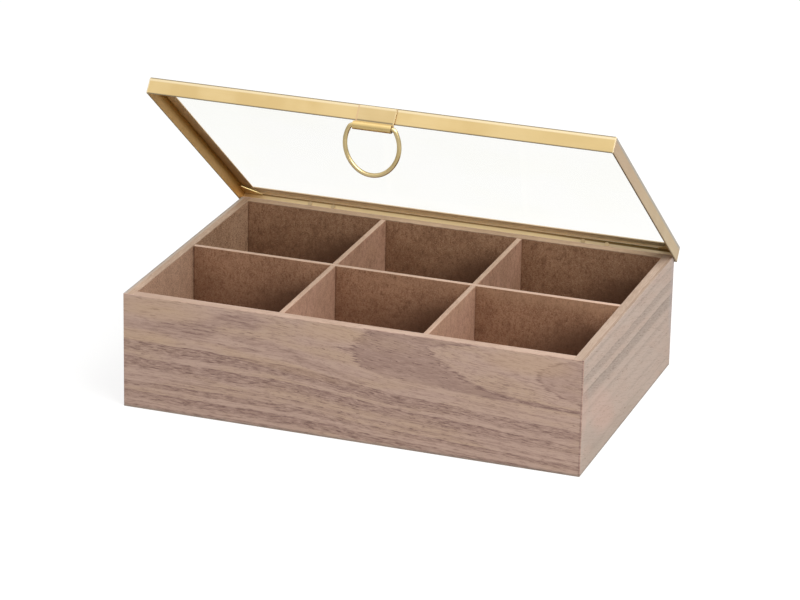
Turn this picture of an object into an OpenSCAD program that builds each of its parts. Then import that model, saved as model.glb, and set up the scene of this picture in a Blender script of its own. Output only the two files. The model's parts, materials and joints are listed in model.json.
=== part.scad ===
// Tea bag organizer box: veneered box with a half-lapped divider grid, a glazed metal
// lid on two cranked hinges, and a D-shaped pull ring in a rolled bracket.
// Millimetres. The origin is the middle of the underside, +Z up, the front faces -Y.
// The lid is drawn closed and then swung open about the hinge pins.

/* [Box] */
// Width of the box, left to right
box_w = 240; // [180:1:320]
// Depth of the box, front to back
box_d = 160; // [120:1:240]
// Height of the box walls
box_h = 60.5; // [45:0.5:90]
// Thickness of a wall board under its veneer
board_t = 4.7; // [4:0.1:9]
// Thickness of the outer veneer sheets
veneer_t = 0.7; // [0.55:0.05:1.2]
// Radius of the upright edges of the front and rear veneer
veneer_r = 0.5; // [0.1:0.05:0.65]
// Thickness of the strips on the top edges of the boards
edging_t = 0.6; // [0.4:0.1:1.5]
// Thickness of the base panel
base_t = 3; // [2:0.1:6]
// How far the base panel reaches into the rebate of each board
base_seat = 2.5; // [1:0.1:3.5]
// Free space round the edge of the base panel
base_gap = 0.2; // [0.1:0.05:0.5]

/* [Dividers] */
// Thickness of the divider boards
divider_t = 2.8; // [2:0.1:5]
// How far the dividers stop below the top of the walls
divider_drop = 0.3; // [0:0.1:3]
// Distance of each cross divider from the middle of the box
cross_x = 37.7; // [25:0.1:50]
// Place of the long divider, towards the back from the middle
long_y = 0; // [-20:0.5:20]
// Play on each side of a divider in its half-lap slot
lap_gap = 0.1; // [0.05:0.05:0.3]

/* [Lid frame] */
// Angle that the lid stands open
open_angle = 37.5; // [0:0.5:100]
// Metal thickness of the L-section rails
rail_t = 0.7; // [0.5:0.05:1.5]
// Height of the rails' outer face
skirt_h = 8.5; // [7.5:0.1:14]
// Width of the rails' top flange, from the outer face
flange_w = 6.5; // [5:0.1:12]
// Radius of the bend between outer face and flange
bend_r = 0.6; // [0.2:0.05:1.2]
// Free space between the side rails and the box
side_gap = 0.3; // [0.3:0.05:1]
// Free space between the front and rear rails and the box
end_gap = 0.8; // [0.7:0.05:2]
// Free space between the corner tabs and the top of the closed box
rest_gap = 0.3; // [0.3:0.05:1]

/* [Glass] */
// Thickness of the glass pane
glass_t = 2; // [1.5:0.1:4]
// Free space between the edge of the pane and the rails
glass_gap = 0.5; // [0.3:0.1:1]
// Radius of the corners of the pane
glass_r = 1; // [0.5:0.1:4]
// Thickness of the corner tabs that hold the pane up
tab_t = 0.5; // [0.3:0.05:1]
// Length of a corner tab along each rail
tab_leg = 10.2; // [6:0.2:20]
// Width of the blunt tips of a corner tab
tab_tip = 1.2; // [0.5:0.1:3]

/* [Hinges] */
// Distance of the middle of each hinge from the end of the box
hinge_inset = 44; // [35:0.5:60]
// Width of a hinge
hinge_w = 20; // [16:0.5:36]
// Width of the fixed middle knuckle
knuckle_w = 8; // [5:0.5:10]
// Sideways play between neighbouring knuckles
knuckle_play = 0.3; // [0.2:0.05:0.5]
// Free space between the knuckles and the metal in front of and below them
knuckle_gap = 0.3; // [0.3:0.05:0.6]
// Metal thickness of the hinge leaves
leaf_t = 0.6; // [0.4:0.05:0.8]
// Outer radius of the knuckles
knuckle_r = 1.1; // [1:0.05:1.6]
// Radius of the hinge pins
pin_r = 0.55; // [0.4:0.05:0.6]
// Running clearance round the hinge pins
pin_clear = 0.05; // [0.02:0.01:0.1]
// Height of the fixed leaf on the rear wall
fixed_leaf_h = 12; // [9:0.5:20]
// Distance of the moving leaf's top edge below the top of the lid
leaf_drop = 1.1; // [0.7:0.1:1.6]
// Distance between the two fasteners of a leaf
fastener_pitch = 13; // [10:0.5:14]
// Height of the rivets above the lower edge of the rail
rivet_up = 4.2; // [3:0.1:4.4]
// Radius of the rivet shanks
rivet_r = 0.8; // [0.5:0.05:1]
// Radius of the rivet heads
rivet_head_r = 1.2; // [1.1:0.05:1.4]
// Thickness of the rivet heads
rivet_head_t = 0.4; // [0.2:0.05:0.4]
// Radius of the screw shanks
screw_r = 0.95; // [0.7:0.05:1.2]
// Length of the screws under the head
screw_len = 5; // [3.5:0.1:5.5]
// Radius of the screw heads
screw_head_r = 1.9; // [1.6:0.05:2.4]
// Thickness of the screw heads
screw_head_t = 0.9; // [0.5:0.1:1.2]
// Width of the slot in the screw heads
screw_slot_w = 0.5; // [0.3:0.05:0.8]
// Radial clearance of screws and rivets in their holes
hole_clear = 0.05; // [0.02:0.01:0.1]

/* [Handle] */
// Width of the bracket and its barrel
bracket_w = 20; // [18:0.5:25]
// Metal thickness of the bracket
bracket_t = 0.7; // [0.4:0.05:0.75]
// Distance of the bracket's top edge below the top of the rail
bracket_drop = 0.7; // [0.6:0.1:3]
// Outer radius of the rolled barrel
barrel_r = 2.1; // [2.05:0.05:2.6]
// Distance of the barrel's axis below the rail
barrel_drop = 3.3; // [2.4:0.05:6]
// Radius of the ring's wire
wire_r = 1.15; // [0.6:0.05:1.2]
// How far the middle of the wire bows out past each end of the barrel
ring_bow = 4.1; // [3.6:0.1:6]
// Depth below the barrel's axis where the ring is widest
ring_widest = 9.2; // [8:0.1:10]
// Depth of the ring's lowest point, to the middle of the wire
ring_drop = 24.8; // [24:0.1:34]
// Radius of the ring's bottom curve
ring_bottom_r = 12.8; // [11.5:0.1:13]
// Radius of the ring's two upper corners
ring_corner_r = 2.4; // [2:0.1:3]

/* [Hidden] */

$fn = 64;
over = 1;                                // how far a cut runs past the face it opens

walnut = [0.67, 0.57, 0.50];
fibreboard = [0.47, 0.35, 0.27];
tan_wood = [0.78, 0.67, 0.57];
gold = [0.86, 0.74, 0.50];
steel = [0.72, 0.70, 0.66];
clear_glass = [0.85, 0.93, 0.92, 0.3];

// Box
core_w = box_w - 2 * veneer_t;           // outside of the boards
core_d = box_d - 2 * veneer_t;
core_h = box_h - edging_t;
inner_w = core_w - 2 * board_t;          // inside of the boards
inner_d = core_d - 2 * board_t;
divider_h = box_h - divider_drop - base_t;
lap_w = divider_t + 2 * lap_gap;

// Closed lid
lid_w = box_w + 2 * (side_gap + rail_t);
lid_d = box_d + 2 * (end_gap + rail_t);
tab_z = box_h + rest_gap;
glass_z = tab_z + tab_t;
lid_top = glass_z + glass_t + rail_t;
lid_z = lid_top - skirt_h;               // lower edge of the rails

// Hinges
hinge_x = box_w / 2 - hinge_inset;
pin_y = lid_d / 2 + knuckle_gap + knuckle_r;
pin_z = lid_z;
bore_r = pin_r + pin_clear;
crank_z = pin_z - knuckle_r - knuckle_gap;   // top of the fixed leaf's crank
fixed_leaf_z = crank_z - fixed_leaf_h;
screw_z = fixed_leaf_z + (fixed_leaf_h - leaf_t) / 2;

// Handle
barrel_y = -lid_d / 2 - barrel_r;
barrel_z = lid_z - barrel_drop;
barrel_bore_r = barrel_r - bracket_t;

// A point [y, z] of the closed lid, moved to where the open lid has it
function opened(p) = [
    pin_y + (p[0] - pin_y) * cos(open_angle) + (p[1] - pin_z) * sin(open_angle),
    pin_z - (p[0] - pin_y) * sin(open_angle) + (p[1] - pin_z) * cos(open_angle)
];
ring_axis = opened([barrel_y, barrel_z]);
ring_half_w = bracket_w / 2 + ring_bow;

// The ring's outline is a chain of tangent arcs: bottom, two sides and two corners
bottom_c = [0, ring_bottom_r - ring_drop];
side_rise = -ring_widest - bottom_c[1];
side_r = (ring_half_w ^ 2 + side_rise ^ 2 - ring_bottom_r ^ 2) / (2 * (ring_half_w - ring_bottom_r));
side_c = [ring_half_w - side_r, -ring_widest];
corner_rise = ring_widest - ring_corner_r;
corner_c = [side_c[0] + sqrt((side_r - ring_corner_r) ^ 2 - corner_rise ^ 2), -ring_corner_r];
side_low = atan2(bottom_c[1] - side_c[1], bottom_c[0] - side_c[0]);
side_high = atan2(corner_c[1] - side_c[1], corner_c[0] - side_c[0]);
corner_steps = 7;                        // stations along each arc, and sides of the wire
side_steps = 11;
bottom_steps = 12;
wire_sides = 20;

module open_lid() {
    translate([0, pin_y, pin_z])
        rotate([-open_angle, 0, 0])
            translate([0, -pin_y, -pin_z])
                children();
}

// What a square corner at the origin, opening towards +X +Y, loses when it is rounded
module corner_waste(r) {
    difference() {
        translate([-over, -over])
            square(r + over);
        translate([r, r])
            circle(r = r);
    }
}

// Extrudes an outline drawn as [y, z] along X, centred on x = 0
module along_x(length) {
    rotate([90, 0, 90])
        linear_extrude(length, center = true)
            children();
}

// ---------- box ----------

// Two screw holes through the rear wall at one hinge
module screw_holes(x) {
    for (side = [-1, 1])
        translate([x + side * fastener_pitch / 2, box_d / 2 + over, screw_z])
            rotate([90, 0, 0])
                cylinder(r = screw_r + hole_clear, h = screw_len - leaf_t + over);
}

// Front or rear board, rebated for the base panel; its outer face looks to -Y
module end_board() {
    difference() {
        translate([-inner_w / 2, 0, 0])
            cube([inner_w, board_t, core_h]);
        translate([-inner_w / 2 - over, board_t - base_seat, -over])
            cube([inner_w + 2 * over, base_seat + over, base_t + over]);
    }
}

module front_board() {
    color(fibreboard)
        translate([0, -core_d / 2, 0])
            end_board();
}

module rear_board() {
    color(fibreboard)
        difference() {
            translate([0, core_d / 2, 0])
                rotate([0, 0, 180])
                    end_board();
            screw_holes(-hinge_x);
            screw_holes(hinge_x);
        }
}

// Side board, full depth, with a rebate that stops at the front and rear boards' rebates
module side_board() {
    difference() {
        translate([-core_w / 2, -core_d / 2, 0])
            cube([board_t, core_d, core_h]);
        translate([-inner_w / 2 - base_seat, -inner_d / 2 - base_seat, -over])
            cube([base_seat + over, inner_d + 2 * base_seat, base_t + over]);
    }
}

module left_board() {
    color(fibreboard) side_board();
}

module right_board() {
    color(fibreboard) mirror([1, 0, 0]) side_board();
}

module base_panel() {
    panel_w = inner_w + 2 * (base_seat - base_gap);
    panel_d = inner_d + 2 * (base_seat - base_gap);
    color(fibreboard)
        translate([-panel_w / 2, -panel_d / 2, 0])
            cube([panel_w, panel_d, base_t]);
}

// Front or rear veneer, full width, outer upright edges eased; the outer face looks to -Y
module end_veneer() {
    linear_extrude(box_h)
        difference() {
            translate([-box_w / 2, 0])
                square([box_w, veneer_t]);
            for (side = [0, 1])
                mirror([side, 0])
                    translate([-box_w / 2, 0])
                        corner_waste(veneer_r);
        }
}

module front_veneer() {
    color(walnut)
        translate([0, -box_d / 2, 0])
            end_veneer();
}

module rear_veneer() {
    color(walnut)
        difference() {
            translate([0, box_d / 2, 0])
                rotate([0, 0, 180])
                    end_veneer();
            screw_holes(-hinge_x);
            screw_holes(hinge_x);
        }
}

module side_veneer() {
    translate([-box_w / 2, -core_d / 2, 0])
        cube([veneer_t, core_d, box_h]);
}

module left_veneer() {
    color(walnut) side_veneer();
}

module right_veneer() {
    color(walnut) mirror([1, 0, 0]) side_veneer();
}

// The side strips run through and the front and rear strips fit between them
module end_edging() {
    translate([-inner_w / 2, -core_d / 2, core_h])
        cube([inner_w, board_t, edging_t]);
}

module side_edging() {
    translate([-core_w / 2, -core_d / 2, core_h])
        cube([board_t, core_d, edging_t]);
}

module front_edging() {
    color(tan_wood) end_edging();
}

module rear_edging() {
    color(tan_wood) mirror([0, 1, 0]) end_edging();
}

module left_edging() {
    color(tan_wood) side_edging();
}

module right_edging() {
    color(tan_wood) mirror([1, 0, 0]) side_edging();
}

// ---------- dividers ----------

// Slotted from below, so its top edge runs through
module long_divider() {
    color(fibreboard)
        difference() {
            translate([-inner_w / 2, long_y - divider_t / 2, base_t])
                cube([inner_w, divider_t, divider_h]);
            for (side = [-1, 1])
                translate([side * cross_x - lap_w / 2, long_y - divider_t / 2 - over, base_t - over])
                    cube([lap_w, divider_t + 2 * over, divider_h / 2 + over]);
        }
}

// Slotted from above
module cross_divider() {
    difference() {
        translate([-divider_t / 2, -inner_d / 2, base_t])
            cube([divider_t, inner_d, divider_h]);
        translate([-divider_t / 2 - over, long_y - lap_w / 2, base_t + divider_h / 2])
            cube([divider_t + 2 * over, lap_w, divider_h / 2 + over]);
    }
}

module left_cross_divider() {
    color(fibreboard) translate([-cross_x, 0, 0]) cross_divider();
}

module right_cross_divider() {
    color(fibreboard) translate([cross_x, 0, 0]) cross_divider();
}

// ---------- hinges ----------

module knuckle_bore() {
    translate([pin_y, pin_z])
        circle(r = bore_r);
}

// Plate on the rear wall, cranked out to the pin line, with the middle knuckle
module fixed_leaf(x) {
    color(gold)
        translate([x, 0, 0])
            difference() {
                union() {
                    along_x(hinge_w) {
                        translate([box_d / 2, fixed_leaf_z])
                            square([leaf_t, fixed_leaf_h]);
                        translate([box_d / 2, crank_z - leaf_t])
                            square([pin_y - knuckle_r + leaf_t - box_d / 2, leaf_t]);
                    }
                    along_x(knuckle_w) {
                        translate([pin_y - knuckle_r, crank_z - leaf_t])
                            square([leaf_t, pin_z - crank_z + leaf_t]);
                        translate([pin_y, pin_z])
                            circle(r = knuckle_r);
                    }
                }
                along_x(knuckle_w + over)
                    knuckle_bore();
                for (side = [-1, 1])
                    translate([side * fastener_pitch / 2, box_d / 2 + leaf_t + over, screw_z])
                        rotate([90, 0, 0])
                            cylinder(r = screw_r + hole_clear, h = leaf_t + 2 * over);
            }
}

module left_fixed_leaf() {
    fixed_leaf(-hinge_x);
}

module right_fixed_leaf() {
    fixed_leaf(hinge_x);
}

// Plate on the rear rail with the two outer knuckles, notched round the middle knuckle
module moving_leaf(x) {
    notch_w = knuckle_w + 2 * knuckle_play;
    color(gold)
        open_lid()
            translate([x, 0, 0])
                difference() {
                    along_x(hinge_w) {
                        translate([lid_d / 2, lid_z])
                            square([leaf_t, skirt_h - leaf_drop]);
                        translate([pin_y, pin_z])
                            circle(r = knuckle_r);
                    }
                    along_x(hinge_w + over)
                        knuckle_bore();
                    translate([-notch_w / 2, lid_d / 2 - over, pin_z - knuckle_r - over])
                        cube([notch_w, over + knuckle_gap + 2 * knuckle_r + over, 2 * knuckle_r + knuckle_gap + over]);
                    for (side = [-1, 1])
                        translate([side * fastener_pitch / 2, lid_d / 2 + leaf_t + over, lid_z + rivet_up])
                            rotate([90, 0, 0])
                                cylinder(r = rivet_r + hole_clear, h = leaf_t + 2 * over);
                }
}

module left_moving_leaf() {
    moving_leaf(-hinge_x);
}

module right_moving_leaf() {
    moving_leaf(hinge_x);
}

// Slotted pan-head screw; the head's underside is at the origin, the shank points to -Y
module screw() {
    difference() {
        rotate([90, 0, 0]) {
            cylinder(r = screw_r, h = screw_len);
            translate([0, 0, -screw_head_t])
                cylinder(r = screw_head_r, h = screw_head_t);
        }
        translate([-screw_head_r - over, screw_head_t / 2, -screw_slot_w / 2])
            cube([2 * (screw_head_r + over), screw_head_t, screw_slot_w]);
    }
}

module hinge_screws() {
    color(steel)
        for (x = [-hinge_x, hinge_x], side = [-1, 1])
            translate([x + side * fastener_pitch / 2, box_d / 2 + leaf_t, screw_z])
                screw();
}

module hinge_pins() {
    color(steel)
        for (x = [-hinge_x, hinge_x])
            translate([x, pin_y, pin_z])
                rotate([0, 90, 0])
                    cylinder(r = pin_r, h = hinge_w, center = true);
}

// Rivet through leaf and rail, a head on each side
module rivet() {
    grip = leaf_t + rail_t;
    rotate([90, 0, 0]) {
        cylinder(r = rivet_r, h = grip);
        translate([0, 0, -rivet_head_t])
            cylinder(r = rivet_head_r, h = rivet_head_t);
        translate([0, 0, grip])
            cylinder(r = rivet_head_r, h = rivet_head_t);
    }
}

module hinge_rivets() {
    color(gold)
        open_lid()
            for (x = [-hinge_x, hinge_x], side = [-1, 1])
                translate([x + side * fastener_pitch / 2, lid_d / 2 + leaf_t, lid_z + rivet_up])
                    rivet();
}

// ---------- lid ----------

// L-section outline: x inwards from the outer face, y up from the lower edge
module rail_outline() {
    difference() {
        union() {
            square([rail_t, skirt_h]);
            translate([0, skirt_h - rail_t])
                square([flange_w, rail_t]);
        }
        translate([0, skirt_h])
            mirror([0, 1])
                corner_waste(bend_r);
    }
}

// Rail with mitred ends, along X; its outer face looks to -Y and lies at y = 0
module rail(length) {
    intersection() {
        along_x(length)
            rail_outline();
        translate([0, 0, -over])
            linear_extrude(skirt_h + 2 * over)
                polygon([
                    [-length / 2, 0],
                    [length / 2, 0],
                    [length / 2 - flange_w, flange_w],
                    [-length / 2 + flange_w, flange_w]
                ]);
    }
}

module front_rail() {
    color(gold)
        open_lid()
            translate([0, -lid_d / 2, lid_z])
                rail(lid_w);
}

module rear_rail() {
    color(gold)
        open_lid()
            difference() {
                translate([0, lid_d / 2, lid_z])
                    rotate([0, 0, 180])
                        rail(lid_w);
                for (x = [-hinge_x, hinge_x], side = [-1, 1])
                    translate([x + side * fastener_pitch / 2, lid_d / 2 + over, lid_z + rivet_up])
                        rotate([90, 0, 0])
                            cylinder(r = rivet_r + hole_clear, h = rail_t + 2 * over);
            }
}

module left_rail() {
    color(gold)
        open_lid()
            translate([-lid_w / 2, 0, lid_z])
                rotate([0, 0, -90])
                    rail(lid_d);
}

module right_rail() {
    color(gold)
        open_lid()
            translate([lid_w / 2, 0, lid_z])
                rotate([0, 0, 90])
                    rail(lid_d);
}

module glass_pane() {
    pane_w = lid_w - 2 * (rail_t + glass_gap);
    pane_d = lid_d - 2 * (rail_t + glass_gap);
    color(clear_glass)
        open_lid()
            translate([0, 0, glass_z])
                linear_extrude(glass_t)
                    union() {
                        square([pane_w - 2 * glass_r, pane_d], center = true);
                        square([pane_w, pane_d - 2 * glass_r], center = true);
                        for (sx = [-1, 1], sy = [-1, 1])
                            translate([sx * (pane_w / 2 - glass_r), sy * (pane_d / 2 - glass_r)])
                                circle(r = glass_r);
                    }
}

// Three-cornered tabs under the pane, soldered into the corners of the frame
module corner_tabs() {
    color(gold)
        open_lid()
            for (sx = [-1, 1], sy = [-1, 1])
                scale([sx, sy, 1])
                    translate([lid_w / 2 - rail_t, lid_d / 2 - rail_t, tab_z])
                        linear_extrude(tab_t)
                            polygon([
                                [0, 0],
                                [-tab_leg, 0],
                                [-tab_leg, -tab_tip],
                                [-tab_tip, -tab_leg],
                                [0, -tab_leg]
                            ]);
}

// ---------- handle ----------

// Plate on the front rail, rolled outwards into a barrel below it
module handle_bracket() {
    color(gold)
        open_lid()
            along_x(bracket_w)
                difference() {
                    union() {
                        translate([-lid_d / 2 - bracket_t, barrel_z])
                            square([bracket_t, lid_top - bracket_drop - barrel_z]);
                        translate([barrel_y, barrel_z])
                            circle(r = barrel_r);
                    }
                    translate([barrel_y, barrel_z])
                        circle(r = barrel_bore_r);
                }
}

// Stations [x, z, angle of the outward normal] along an arc round centre c, without its start
function arc_stations(c, r, a0, a1, n) = [
    for (i = [1:n])
        let (a = a0 + (a1 - a0) * i / n)
            [c[0] + r * cos(a), c[1] + r * sin(a), a]
];

// The whole ring once round: the bar in the barrel, then down one side and up the other
function ring_stations() = concat(
    [[corner_c[0], 0, 90], [-corner_c[0], 0, 90]],
    arc_stations([-corner_c[0], corner_c[1]], ring_corner_r, 90, 180 - side_high, corner_steps),
    arc_stations([-side_c[0], side_c[1]], side_r, 180 - side_high, 180 - side_low, side_steps),
    arc_stations(bottom_c, ring_bottom_r, 180 - side_low, 360 + side_low, bottom_steps),
    arc_stations(side_c, side_r, 360 + side_low, 360 + side_high, side_steps),
    [for (s = arc_stations(corner_c, ring_corner_r, side_high, 90, corner_steps)) if (s[2] < 90) s]
);

// D-shaped ring of round wire, hanging plumb from the barrel
module pull_ring() {
    stations = ring_stations();
    n = len(stations);
    points = [
        for (s = stations, j = [0:wire_sides - 1])
            let (a = 360 * j / wire_sides, out = wire_r * cos(a))
                [s[0] + out * cos(s[2]), wire_r * sin(a), s[1] + out * sin(s[2])]
    ];
    faces = [
        for (i = [0:n - 1], j = [0:wire_sides - 1])
            [for (step = [[0, 0], [1, 0], [1, 1], [0, 1]])
                (i + step[0]) % n * wire_sides + (j + step[1]) % wire_sides]
    ];
    color(gold)
        translate([0, ring_axis[0], ring_axis[1]])
            polyhedron(points, faces);
}

front_board();
rear_board();
left_board();
right_board();
base_panel();
front_veneer();
rear_veneer();
left_veneer();
right_veneer();
front_edging();
rear_edging();
left_edging();
right_edging();
long_divider();
left_cross_divider();
right_cross_divider();
left_fixed_leaf();
right_fixed_leaf();
hinge_screws();
hinge_pins();
front_rail();
rear_rail();
left_rail();
right_rail();
glass_pane();
corner_tabs();
left_moving_leaf();
right_moving_leaf();
hinge_rivets();
handle_bracket();
pull_ring();
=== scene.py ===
"""Tea bag organizer box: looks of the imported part, its camera, light and stage.

Places and lengths on the part are in millimetres. The camera, the lamps and the floor are
in metres. The row frame has its origin in the middle of the box's underside, +Z up and the
front towards -Y.
"""

import json
import math

import bmesh
import bpy
from mathutils import Matrix, Vector


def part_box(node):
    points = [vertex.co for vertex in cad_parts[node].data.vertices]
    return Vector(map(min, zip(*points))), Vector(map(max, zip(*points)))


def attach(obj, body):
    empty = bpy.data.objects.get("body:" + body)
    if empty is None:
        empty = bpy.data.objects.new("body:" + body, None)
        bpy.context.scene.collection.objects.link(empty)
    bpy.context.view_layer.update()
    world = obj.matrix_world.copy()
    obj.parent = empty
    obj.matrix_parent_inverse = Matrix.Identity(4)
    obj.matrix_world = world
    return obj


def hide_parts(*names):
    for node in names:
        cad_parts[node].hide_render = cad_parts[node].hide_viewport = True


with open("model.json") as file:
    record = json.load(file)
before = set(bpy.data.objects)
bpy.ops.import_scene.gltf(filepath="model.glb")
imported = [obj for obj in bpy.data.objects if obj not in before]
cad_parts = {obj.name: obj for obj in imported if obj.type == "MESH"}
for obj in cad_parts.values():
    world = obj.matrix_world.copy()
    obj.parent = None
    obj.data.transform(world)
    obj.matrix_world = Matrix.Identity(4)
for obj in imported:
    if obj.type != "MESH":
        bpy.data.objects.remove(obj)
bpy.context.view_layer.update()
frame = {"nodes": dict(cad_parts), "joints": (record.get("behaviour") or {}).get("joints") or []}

MM = 0.001                               # metres


# ---------- places on the part ----------

def box_mm(node):
    """Lowest and highest corner of a CAD node at rest, in millimetres."""
    low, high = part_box(node)
    return Vector(low) / MM, Vector(high) / MM


HALF_W = box_mm("front_veneer")[1].x     # outside of the box, from its middle
HALF_D = box_mm("right_veneer")[1].y
BOX_H = box_mm("front_veneer")[1].z
INNER_W = box_mm("right_board")[0].x     # half of the inside width
CELL_W = INNER_W * 2 / 3                 # width of a compartment
MIDDLE_FACE = box_mm("left_cross_divider")[1].x      # left end of the middle compartments
DIVIDER_FACE = box_mm("right_cross_divider")[1].x    # left end of the right compartments
RAIL_END = box_mm("front_rail")[1].x
PLATE_END = box_mm("handle_bracket")[1].x
LID_HINGE = next(j for j in frame["joints"] if j["name"] == "lid_hinge")
OPEN_ANGLE = -math.radians(LID_HINGE["range_deg"][0])
HINGE_PIN = Vector(LID_HINGE["pos_m"]) / MM
SKIRT_H = 8.5                            # height of the lid's rails, above the pins when closed
GLASS_FOOT = 5.8                         # height of the pane's underside on the same scale
FLANGE_W = 6.5                           # how far the rails' top flanges reach inwards
LID_OVERHANG = 1.0                       # how far the lid reaches past the walls


# ---------- node helpers ----------

class Graph:
    """The node tree of a material or a world, with short calls that add and link nodes."""

    def __init__(self, owner, output):
        owner.use_nodes = True
        self.owner = owner
        self.tree = owner.node_tree
        self.tree.nodes.clear()
        self.output = self.tree.nodes.new(output)

    def put(self, socket, value):
        """Links a socket to another one, or sets its constant."""
        if isinstance(value, bpy.types.NodeSocket):
            self.tree.links.new(value, socket)
        else:
            socket.default_value = value

    def node(self, kind, inputs=None, **settings):
        """A shader node of a kind, with its inputs by number or name and its settings."""
        made = self.tree.nodes.new("ShaderNode" + kind)
        for key, value in settings.items():
            setattr(made, key, value)
        for key, value in (inputs or {}).items():
            self.put(made.inputs[key], value)
        return made

    def math(self, operation, a, b=0.0):
        return self.node("Math", {0: a, 1: b}, operation=operation).outputs[0]

    def add(self, a, b):
        return self.math("ADD", a, b)

    def sub(self, a, b):
        return self.math("SUBTRACT", a, b)

    def mul(self, a, b):
        return self.math("MULTIPLY", a, b)

    def top(self, *values):
        """Largest of some values."""
        total = values[0]
        for value in values[1:]:
            total = self.math("MAXIMUM", total, value)
        return total

    def ramp(self, value, low, high, to_low=0.0, to_high=1.0):
        """Smooth step of value from low to high, put out as to_low to to_high."""
        inputs = {0: value, 1: low, 2: high, 3: to_low, 4: to_high}
        made = self.node("MapRange", inputs, interpolation_type="SMOOTHSTEP")
        return made.outputs[0]

    def line(self, off, outer, inner, depth=1.0):
        """Soft line: depth while off is within inner of 0, and nothing beyond outer."""
        return self.ramp(self.math("ABSOLUTE", off), outer, inner, 0.0, depth)

    def object_mm(self):
        """The point on the piece in the row frame, in millimetres."""
        coordinates = self.node("TexCoord").outputs["Object"]
        scaled = self.node("VectorMath", {0: coordinates, 3: 1 / MM}, operation="SCALE")
        return scaled.outputs[0]

    def split(self, vector):
        return self.node("SeparateXYZ", {0: vector}).outputs

    def join(self, x, y, z=0.0):
        return self.node("CombineXYZ", {0: x, 1: y, 2: z}).outputs[0]

    def noise(self, vector, scale, detail, rough):
        inputs = {"Vector": vector, "Scale": scale, "Detail": detail, "Roughness": rough}
        return self.node("TexNoise", inputs).outputs[0]

    def mix(self, fac, a, b):
        """Blend from colour a to colour b."""
        made = self.node("Mix", data_type="RGBA")
        self.put(made.inputs[0], fac)
        self.put(made.inputs[6], a)
        self.put(made.inputs[7], b)
        return made.outputs[2]

    def blend(self, fac, a, b):
        """Blend from number a to number b."""
        return self.node("Mix", {0: fac, 2: a, 3: b}).outputs[0]

    def bump(self, height, distance_mm, strength):
        inputs = {"Height": height, "Distance": distance_mm * MM, "Strength": strength}
        return self.node("Bump", inputs).outputs[0]

    def show(self, shader):
        """Makes a shader the tree's surface."""
        self.tree.links.new(shader.outputs[0], self.output.inputs[0])

    def principled(self, **inputs):
        names = {key.replace("_", " "): value for key, value in inputs.items()}
        made = self.node("BsdfPrincipled", names)
        self.show(made)
        return made


def material_graph(name):
    return Graph(bpy.data.materials.new(name), "ShaderNodeOutputMaterial")


def srgb(red, green, blue):
    """A colour as it looks on screen, 0 to 255, turned into linear light."""
    def linear(c):
        c /= 255
        return c / 12.92 if c <= 0.04045 else ((c + 0.055) / 1.055) ** 2.4
    return (linear(red), linear(green), linear(blue), 1.0)


WHITE = (1.0, 1.0, 1.0, 1.0)


# ---------- materials ----------

RING_LINE = 1.4                          # how much darker than its ring the line on top is


def rings(g, level, table):
    """Dark growth rings: each has its sharp top, the end of its full tone, its faded end, in mm,
    and its depth. A thin line along its top is darker still."""
    total = 0.0
    for top, full, faded, depth in table:
        ring = g.mul(g.ramp(level, top + 0.4, top - 0.4), g.ramp(level, faded, full, 0.0, depth))
        edge = g.line(g.sub(level, top - 0.5), 0.9, 0.2, depth * RING_LINE)
        total = g.top(total, ring, edge)
    return total


def smudge(g, x, z, place, radii, slope, depth):
    """Soft oval patch: its place and its radii in mm, and the slope of its long axis."""
    along = g.mul(g.sub(x, place[0]), 1 / radii[0])
    lean = g.add(place[1], g.mul(g.sub(x, place[0]), slope))
    across = g.mul(g.sub(z, lean), 1 / radii[1])
    reach = g.add(g.mul(along, along), g.mul(across, across))
    return g.ramp(reach, 1.2, 0.1, 0.0, depth)


def wave(g, along, across, scales, drift, detail=3.0):
    """Noise about zero on a veneer, its scales per mm along and across the grain."""
    at = g.join(g.mul(along, scales[0]), g.mul(across, scales[1]), drift)
    return g.sub(g.noise(at, 1.0, detail, 0.65), 0.5)


def grain(g, along, across, drift):
    """Long streaks, short dashes, pores and broad drift of a veneer, all about zero."""
    streaks = wave(g, along, across, (0.045, 1.15), drift)
    dashes = wave(g, along, across, (0.17, 1.65), drift + 1.0, 3.0)
    pores = wave(g, along, across, (0.13, 2.1), drift + 3.0, 2.0)
    broad = wave(g, along, across, (0.017, 0.075), drift, 2.0)
    return streaks, dashes, g.ramp(pores, 0.09, 0.18), broad


FOOT_GREY = srgb(128, 120, 108)


def foot_line(g, tone):
    """Darkens the lowest millimetre and a half of a wall towards grey."""
    z = g.split(g.object_mm())[2]
    return g.mix(g.ramp(z, 1.7, 0.4, 0.0, 0.55), tone, FOOT_GREY)


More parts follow.
